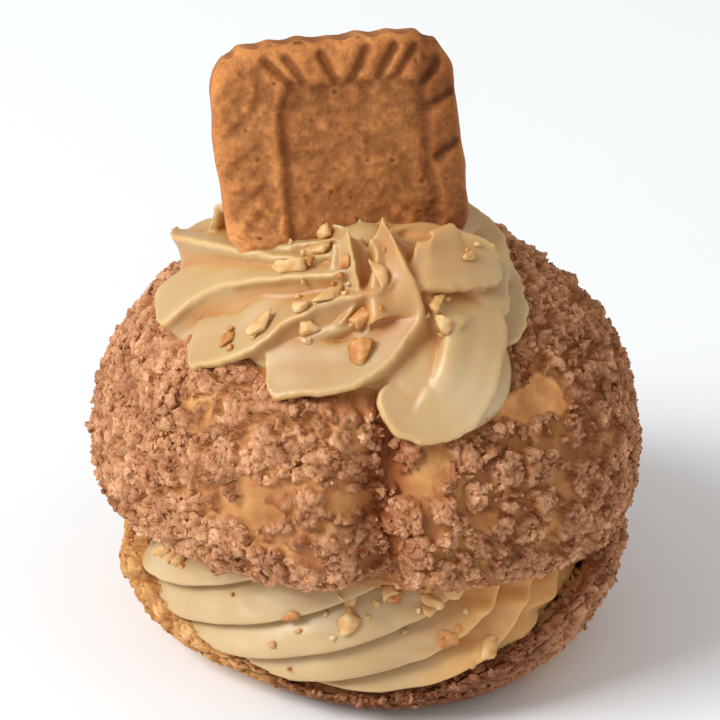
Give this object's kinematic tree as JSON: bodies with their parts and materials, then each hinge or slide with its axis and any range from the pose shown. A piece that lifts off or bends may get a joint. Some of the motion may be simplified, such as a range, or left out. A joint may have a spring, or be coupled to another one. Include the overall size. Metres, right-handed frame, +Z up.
{
  "type": "choux bun",
  "caption": "Round choux bun, split and filled with piped cream, its crackled lid topped by a piped cream rosette, a crimped biscuit and chopped nuts.",
  "frame": {"origin": "middle of the flat foot that the bun stands on", "axes": "+Z up through the bun, -Y towards the front, where the rosette and the biscuit's sunk panel face, +X to the right seen from the front"},
  "size_m": [0.0709, 0.0705, 0.0836],
  "materials": {
    "choux": "baked, matt",
    "crackled_crust": "baked sugar crumb, matt",
    "cream": "satin",
    "biscuit": "baked, matt"
  },
  "bodies": {
    "root": {"bun_base": "choux", "cream_filling": "cream", "bun_lid": "crackled_crust", "cream_rosette": "cream", "biscuit": "biscuit"}
  },
  "joints": []
}
